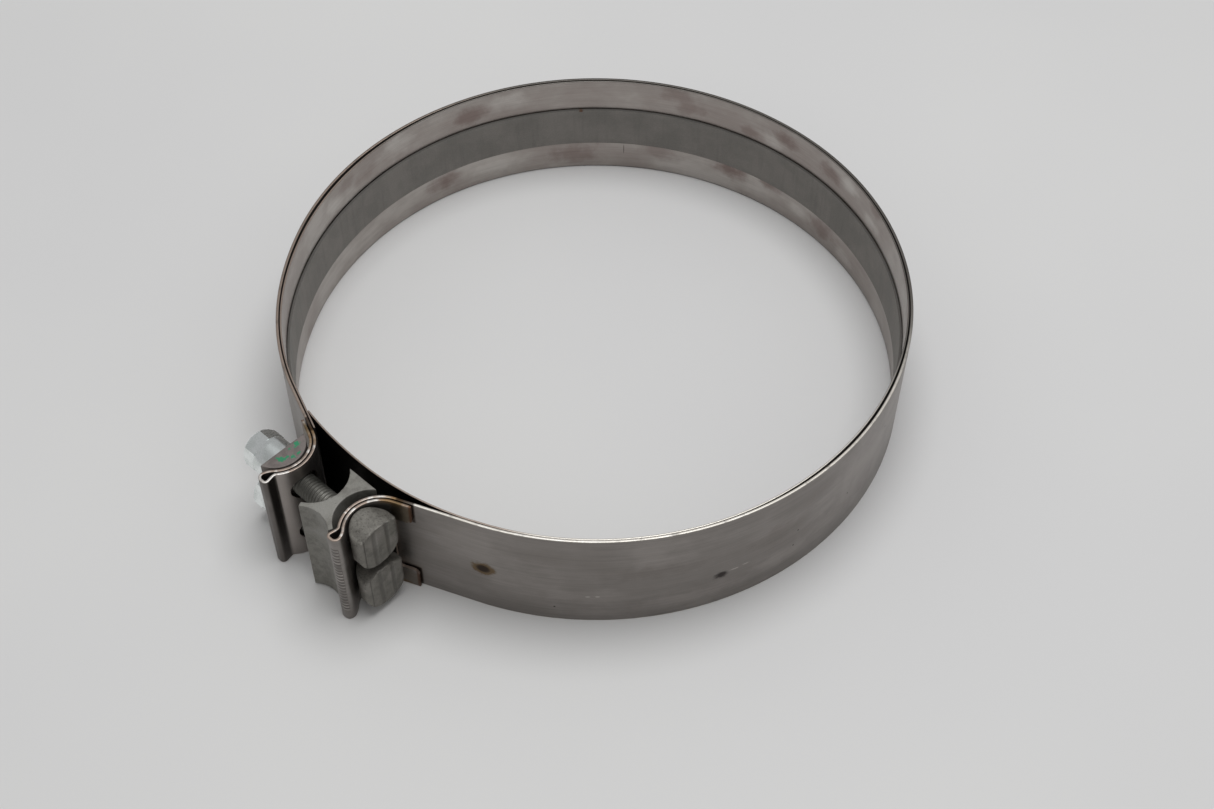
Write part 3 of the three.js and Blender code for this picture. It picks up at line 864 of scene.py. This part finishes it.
def bar_material():
    """Warm grey sawn steel, with a few plain dabs of green marking paint on its top face."""
    look = Look("bar_steel", Metallic=0.4)
    color, rough, normal = cast_steel(look, BAR_TONES, 0.56, 0.05, 0.4)
    ragged = look.ragged(1000, 3.2)
    dabs = []
    for across, along, half_x, half_y in PAINT_DABS:
        centre = (BAR_FLAT_X + across * MM, BOLT_Y + along * MM, BAR_HIGH)
        dabs.append(look.spot(centre, (half_x * MM, half_y * MM, 0.8 * MM), 0.25, ragged))
    return look.finish(look.tint(color, PAINT_GREEN, look.any_of(*dabs), 0.9), rough, normal)


def zinc_material():
    look = Look("zinc", Metallic=0.96)
    grain = look.noise(1500, 3.0, 0.6)
    cloud = look.noise(200, 3.0, 0.5)
    color = look.mix(look.fade(cloud, 0.4, 0.62), *ZINC_TONES)
    color = look.tint(color, ZINC_TAN, look.fade(look.noise(420, 3.0), 0.72, 0.8), 0.3)
    color = with_grain(look, grain, color, 0.1)
    rough = look.fade(cloud, 0.3, 0.7, 0.2, 0.3)
    return look.finish(color, rough, look.bump(grain, 0.02 * MM, 0.5))


def thread_material():
    """Grey rolled thread, with painted shade on the side of the nuts."""
    look = Look("thread_steel", Metallic=0.8)
    color, rough, normal = cast_steel(look, THREAD_TONES, 0.5, 0.02, 0.3)
    # Painted shade on the thread towards the nuts, beside the left ear
    shaded_side = look.fade(look.x, GAP_X - 1 * MM, GAP_X - 8 * MM)
    return look.finish(look.tint(color, THREAD_PAINTED_SHADE, shaded_side, 0.6), rough, normal)


def floor_material():
    look = Look("floor_paper", Specular_IOR_Level=0.25)
    cloud = look.noise(3.0, 3.0)
    color = look.mix(look.fade(cloud, 0.3, 0.7), *FLOOR_TONES)
    rough = look.fade(cloud, 0.3, 0.7, 0.55, 0.6)
    fibre = look.noise(900, 2.0)
    return look.finish(color, rough, look.bump(fibre, 0.02 * MM, 0.3))


# ---------------- strips
def band_piece():
    right, left = (half_band(side, ear)[0] for side, ear in EARS)
    line = np.vstack((right[::-1], left[1:]))
    piece = strip_piece("band", line, BAND_THICKNESS, 0.0, BAND_WIDTH, EarPlaces(*EARS[0]).tab_end)
    tools = [bolt_slot(side, ear, height) for side, ear in EARS for height in BOLT_HEIGHTS.values()]
    tools += [tab_notch(side, ear) for side, ear in EARS]
    boolean(piece, joined("band_cuts", tools), "DIFFERENCE")
    soften(piece.data)
    return piece


def bolt_slot(side, ear, height):
    """A slot with round ends through both layers of an ear."""
    radius = BOLT_RADIUS + 0.7 * MM
    shift = SLOT_HALF_LENGTH - radius
    outline = np.vstack((arc((shift, 0), radius, -90, 90, 16), arc((-shift, 0), radius, 90, 270, 16)))
    middle = ear.x - side * (EAR_RADIUS - 2.5 * MM)
    return along_x(prism(outline, -3.5 * MM, 3.5 * MM), middle, height)


def tab_notch(side, ear):
    """What is cut from the second layer, to leave a tab with a round corner at each edge of the band."""
    lean = math.radians(lean_of(ear))
    low, high = TAB_HEIGHT, BAND_WIDTH - TAB_HEIGHT
    start, end = -1.2 * MM, TAB_LENGTH + 1 * MM
    corner = TAB_CORNER
    outline = np.vstack((
        arc((start + corner, low + corner), corner, 180, 270, 6),
        arc((TAB_LENGTH - corner, low - corner), corner, 90, 0, 6),
        ((end, low - corner), (end, high + corner)),
        arc((TAB_LENGTH - corner, high + corner), corner, 0, -90, 6),
        arc((start + corner, high - corner), corner, 90, 180, 6),
    ))
    notch = prism(outline, FLAP_MID - BAND_THICKNESS, FLAP_MID + BAND_THICKNESS / 2 + FLAP_GAP / 2)
    along = Vector((side * math.cos(lean), math.sin(lean), 0))
    across = Vector((-side * math.sin(lean), math.cos(lean), 0))
    turn = Matrix((along, (0, 0, 1), across)).transposed().to_4x4()
    notch.transform(Matrix.Translation((ear.x, ear.y, 0)) @ turn)
    bmesh.ops.recalc_face_normals(notch, faces=notch.faces)
    return notch


def tongue_line(radius, tip_angle):
    """From the free tip, sprung outward and a little curled, to where the tongue runs on as liner."""

    def outward(angles):
        curl = TONGUE_TIP_CURL * np.clip(angles / TONGUE_TIP_ANGLE, 0, None) ** 2
        return curl - slack(angles)

    root = ring_point(LINER_SPLIT_ANGLE, LINER_MID)
    free = turned(ring_line(radius, tip_angle, LINER_SPLIT_ANGLE, 60, outward), root, TONGUE_TILT)
    return np.vstack((free[:-3], ring_line(radius, LINER_SPLIT_ANGLE + 2, TONGUE_JOIN_ANGLE, 30, outward)))


def hung_line(radius, start, end, steps):
    """A line round the ring that follows the band with the liner's slack."""
    return ring_line(radius, start, end, steps, lambda angles: spring(angles) - slack(angles))


def liner_line():
    """Round the ring from the tongue's root, then straight on past the left ear."""
    lean = lean_of(EAR_LEFT)
    hung = hung_line(LINER_MID, TONGUE_JOIN_ANGLE, 360 - lean, 300)
    tail_length = (LINER_LEFT_END_X - hung[-1, 0]) / math.cos(math.radians(lean))
    return np.vstack((hung, hung[-1] + unit(-lean) * tail_length))


def liner_pieces():
    stretch = BAND_MID / LINER_MID
    size = (LINER_THICKNESS, LINER_LOW, LINER_HIGH)
    liner = strip_piece("liner", liner_line(), *size, along_ring(TONGUE_JOIN_ANGLE), stretch)
    tongue = strip_piece("liner_tongue_sheet", tongue_line(LINER_MID, TONGUE_TIP_ANGLE), *size,
                         along_ring(TONGUE_TIP_ANGLE), stretch)
    return liner, tongue


def gasket_pieces():
    stretch = BAND_MID / GASKET_MID
    size = (GASKET_THICKNESS, GASKET_LOW, GASKET_HIGH)
    line = hung_line(GASKET_MID, TONGUE_JOIN_ANGLE, 360 - GASKET_END_ANGLE, 300)
    strip = strip_piece("gasket_strip", line, *size, along_ring(TONGUE_JOIN_ANGLE), stretch, 6)
    tongue = strip_piece("gasket_tongue_strip", tongue_line(GASKET_MID, TONGUE_GASKET_ANGLE), *size,
                         along_ring(TONGUE_GASKET_ANGLE), stretch, 6)
    return strip, tongue


# ---------------- solid pieces
def along_x(solid, x, height):
    """Turns a prism drawn in Y and Z so that it runs along X on the bolt line."""
    turn = Matrix(((0, 0, 1), (1, 0, 0), (0, 1, 0))).to_4x4()
    solid.transform(Matrix.Translation((x, BOLT_Y, height)) @ turn)
    return solid


def bolt_bores(start, length):
    circle = arc((0, 0), BOLT_RADIUS + HOLE_CLEARANCE, 0, 350, 35)
    return joined("bores", [
        along_x(prism(circle, 0, length), start, height) for height in BOLT_HEIGHTS.values()
    ])


def block_piece():
    """Two hollow flanks that face the ears, joined by a thin web, with rounded outer tips."""
    tip_drop, hollow, tip_in = 2 * MM, 10.1 * MM, 0.8 * MM

    def at(x, y):
        return (BLOCK_X + x, BOLT_Y + y)

    def flank(side):
        return arc_through(at(side * BLOCK_INNER_HALF, BLOCK_REACH_IN), at(side * BLOCK_WEB / 2, 0),
                           at(side * BLOCK_OUTER_HALF, -BLOCK_REACH_OUT), 40)

    foot = arc_through(at(BLOCK_OUTER_HALF - tip_in, -BLOCK_REACH_OUT - tip_drop), at(0, -hollow),
                       at(-BLOCK_OUTER_HALF + tip_in, -BLOCK_REACH_OUT - tip_drop), 24)
    outline = np.vstack((flank(1), foot, flank(-1)[::-1]))
    piece = joined("reaction_block_cast", [prism(outline, BAR_LOW, BAR_HIGH)])
    boolean(piece, bolt_bores(BLOCK_X - 12 * MM, 24 * MM), "DIFFERENCE")
    cast_surface(piece, 0.3 * MM, 2)
    return piece


def bar_piece():
    """A segment of a round bar, its flat towards the nuts."""
    centre = (EAR_LEFT.x, EAR_LEFT.y)
    half = math.degrees(math.acos((BAR_FLAT_X - centre[0]) / BAR_RADIUS))
    outline = arc(centre, BAR_RADIUS, -half, half, 60)
    piece = joined("d_bar_piece", [prism(outline, BAR_LOW, BAR_HIGH)])
    boolean(piece, bolt_bores(BAR_FLAT_X - 5 * MM, BAR_RADIUS + 10 * MM), "DIFFERENCE")
    cast_surface(piece, 0.3 * MM, 4)
    return piece


def head_piece(name, height):
    """A D-shaped head: round towards the ear, its flat outer face arched above and round at the foot."""
    centre = (HEAD_FLAT_X - HEAD_LENGTH + HEAD_RADIUS, BOLT_Y)
    corner_x = HEAD_FLAT_X - HEAD_CORNER
    corner_y = math.sqrt((HEAD_RADIUS - HEAD_CORNER) ** 2 - (corner_x - centre[0]) ** 2)
    turn = math.degrees(math.atan2(corner_y, corner_x - centre[0]))
    plan = np.vstack((
        arc(centre, HEAD_RADIUS, turn, 360 - turn, 60),
        arc((corner_x, BOLT_Y - corner_y), HEAD_CORNER, -turn, 0, 8),
        arc((corner_x, BOLT_Y + corner_y), HEAD_CORNER, 0, turn, 8)[:-1],
    ))
    middle = height + HEAD_RISE
    piece = joined(name, [prism(plan, middle - 12 * MM, middle + 12 * MM)])
    top, foot = HEAD_TOP_ROUND, HEAD_FOOT_ROUND
    shoulder = HEAD_HALF_HEIGHT - HEAD_ARCH_DROP
    high, low = shoulder - top, -HEAD_HALF_HEIGHT + foot
    arch_end = (HEAD_RADIUS - top, shoulder)
    face = np.vstack((
        arc((HEAD_RADIUS - top, high), top, 0, 80, 12),
        arc_through(arch_end, (0, HEAD_HALF_HEIGHT), (-arch_end[0], shoulder), 16),
        arc((-HEAD_RADIUS + top, high), top, 100, 180, 12),
        arc((-HEAD_RADIUS + foot, low), foot, 180, 270, 30),
        arc((HEAD_RADIUS - foot, low), foot, 270, 360, 30),
    ))
    start = HEAD_FLAT_X - HEAD_LENGTH - 1 * MM
    shape = along_x(prism(face, 0, HEAD_LENGTH + 2 * MM), start, middle)
    boolean(piece, joined("face", [shape]), "INTERSECT")
    cast_surface(piece, 0.26 * MM, 9)
    return piece


def turned_points(stations, radii, angles, height):
    """Loops of points about the bolt line, one for each station along X."""
    x = np.broadcast_to(np.asarray(stations)[:, None], radii.shape)
    y = BOLT_Y + radii * np.cos(angles)
    z = height + radii * np.sin(angles)
    return np.stack((x, y, z), axis=-1)[:, ::-1]


def thread_piece(name, height):
    """A bolt's shank, with a helical thread from its free end to inside the block."""
    thread_end = BLOCK_X
    steps_per_pitch = 12
    count = int((thread_end - BOLT_END_X) / THREAD_PITCH * steps_per_pitch)
    stations = np.concatenate((np.linspace(BOLT_END_X, thread_end, count),
                               np.linspace(thread_end, HEAD_FLAT_X - 3 * MM, 12)[1:]))
    angles = np.linspace(0, 2 * math.pi, 48, endpoint=False)
    x = stations[:, None]
    phase = (x / THREAD_PITCH - angles / (2 * math.pi)) % 1
    groove = np.clip(np.abs(2 * phase - 1) * 1.3 - 0.12, 0, 1) * THREAD_DEPTH
    fading = np.clip((thread_end - x) / (2 * THREAD_PITCH), 0, 1)
    chamfer = np.clip(1.2 * MM - (x - BOLT_END_X), 0, None)
    radii = np.minimum(BOLT_RADIUS - groove * fading, BOLT_RADIUS - chamfer)
    mesh = grid_mesh(name, turned_points(stations, radii, angles, height))
    soften(mesh, 50)
    return placed(mesh)


def nut_piece(name, height, turn):
    """A collar nut: a round collar against the bar, a hexagon with a chamfered end, and a bore."""
    shoulder_x = NUT_SEAT_X - NUT_COLLAR_LENGTH
    half_flats = NUT_ACROSS_FLATS / 2
    corner = NUT_ACROSS_FLATS / math.sqrt(3)
    collar, bore, edge = NUT_COLLAR_RADIUS, BOLT_RADIUS + NUT_CLEARANCE, 0.5 * MM
    angles = np.linspace(0, 2 * math.pi, 180, endpoint=False)
    wedge = (angles - math.radians(turn) + math.pi / 6) % (math.pi / 3) - math.pi / 6
    hexagon = half_flats / np.cos(wedge)
    loops = []
    for x in np.linspace(NUT_END_X, shoulder_x - 0.05 * MM, 26):
        cone = half_flats - 1 * MM + (x - NUT_END_X) * 1.05
        loops.append((x, np.minimum(hexagon, min(cone, corner))))
    rounds = [(shoulder_x, collar + 0.1 * MM - edge), (shoulder_x + 0.3 * edge, collar - 0.3 * edge)]
    rounds += [(x, collar) for x in np.linspace(shoulder_x + edge, NUT_SEAT_X - edge, 6)]
    rounds += [(NUT_SEAT_X, collar - 0.4 * MM), (NUT_SEAT_X, bore + 0.5 * MM),
               (NUT_SEAT_X - 0.6 * MM, bore), (NUT_END_X + 0.8 * MM, bore), (NUT_END_X, bore + 0.7 * MM)]
    loops += [(x, np.full_like(angles, radius)) for x, radius in rounds]
    stations, radii = zip(*loops)
    mesh = grid_mesh(name, turned_points(stations, np.array(radii), angles, height), capped=False)
    soften(mesh, 24)
    return placed(mesh)


# ---------------- the object
# Degrees by which each nut stands turned on its bolt
NUT_TURNS = {"upper": 110, "lower": 98}


def dress(material, slot, *pieces):
    for piece in pieces:
        piece.data.materials.clear()
        piece.data.materials.append(material)


def add_strips():
    band = band_piece()
    liner, liner_tongue = liner_pieces()
    gasket, gasket_tongue = gasket_pieces()
    dress(band_material(), "band_steel", band)
    dress(liner_material(), "liner_steel", liner, liner_tongue)
    dress(gasket_material(), "gasket", gasket, gasket_tongue)
    for piece in (band, liner, gasket):
        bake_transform(piece)
    for piece in (liner_tongue, gasket_tongue):
        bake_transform(piece)
    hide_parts("band_right", "band_left")
    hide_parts("liner_right", "liner_left")
    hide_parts("liner_tongue")
    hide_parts("gasket_right", "gasket_left")
    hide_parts("gasket_tongue")


def add_solids():
    block = block_piece()
    dress(block_material(), "block_steel", block)
    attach(block, "block")
    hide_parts("reaction_block")
    bar = bar_piece()
    dress(bar_material(), "block_steel", bar)
    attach(bar, "bar")
    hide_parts("d_bar")
    forged, threaded, zinc = bolt_material(), thread_material(), zinc_material()
    for level, height in BOLT_HEIGHTS.items():
        head = head_piece("bolt_head_" + level, height)
        thread = thread_piece("bolt_thread_" + level, height)
        nut = nut_piece("nut_piece_" + level, height, NUT_TURNS[level])
        dress(forged, "bolt_steel", head)
        dress(threaded, "bolt_steel", thread)
        dress(zinc, "zinc", nut)
        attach(head, level + "_bolt")
        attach(thread, level + "_bolt")
        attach(nut, level + "_nut")
        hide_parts("bolt_" + level)
        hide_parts("nut_" + level)


# ---------------- stage
FLOOR_HALF = 12.0
FLOOR_DROP = 0.1 * MM
CAMERA_PLACE = Vector((0.3296, -0.3372, 0.5594))
CAMERA_TARGET = Vector((0.0175, 0.0025, 0.0))
CAMERA_ROLL = 0.458
CAMERA_LENS = 51.71
LIGHT_PLACE = Vector((0.03, 0.16, 1.5))
LIGHT_SIZE = 1.15
LIGHT_POWER = 13.2
LIGHT_COLOR = (0.97, 0.985, 1.0)
WORLD_COLOR = (0.96, 0.96, 0.97, 1.0)
WORLD_STRENGTH = 0.36


def add_floor():
    plane = bmesh.new()
    bmesh.ops.create_grid(plane, x_segments=6, y_segments=6, size=FLOOR_HALF)
    bmesh.ops.translate(plane, verts=plane.verts, vec=(0, 0, -FLOOR_DROP))
    floor = joined("floor", [plane])
    floor.data.materials.append(floor_material())


def aimed(data, place, target, roll=0.0):
    """A lamp or camera that looks from a place at a target, rolled by some degrees."""
    made = placed(data)
    turn = (target - place).to_track_quat("-Z", "Y").to_matrix().to_4x4()
    made.matrix_world = Matrix.Translation(place) @ turn @ Matrix.Rotation(math.radians(roll), 4, "Z")
    return made


def add_camera():
    data = bpy.data.cameras.new("camera")
    data.sensor_width = 36.0
    data.lens = CAMERA_LENS
    data.clip_start = 0.01
    scene.camera = aimed(data, CAMERA_PLACE, CAMERA_TARGET, CAMERA_ROLL)


def add_light():
    """One soft lamp overhead, in an evenly lit room."""
    data = bpy.data.lights.new("overhead", "AREA")
    data.shape = "DISK"
    data.size = LIGHT_SIZE
    data.energy = LIGHT_POWER
    data.color = LIGHT_COLOR
    aimed(data, LIGHT_PLACE, Vector((0, 0, 0)))
    world = bpy.data.worlds.new("studio")
    world.use_nodes = True
    background = world.node_tree.nodes["Background"]
    background.inputs["Color"].default_value = WORLD_COLOR
    background.inputs["Strength"].default_value = WORLD_STRENGTH
    scene.world = world
    scene.view_settings.view_transform = "Standard"


add_camera()
add_floor()
add_light()
add_strips()
add_solids()
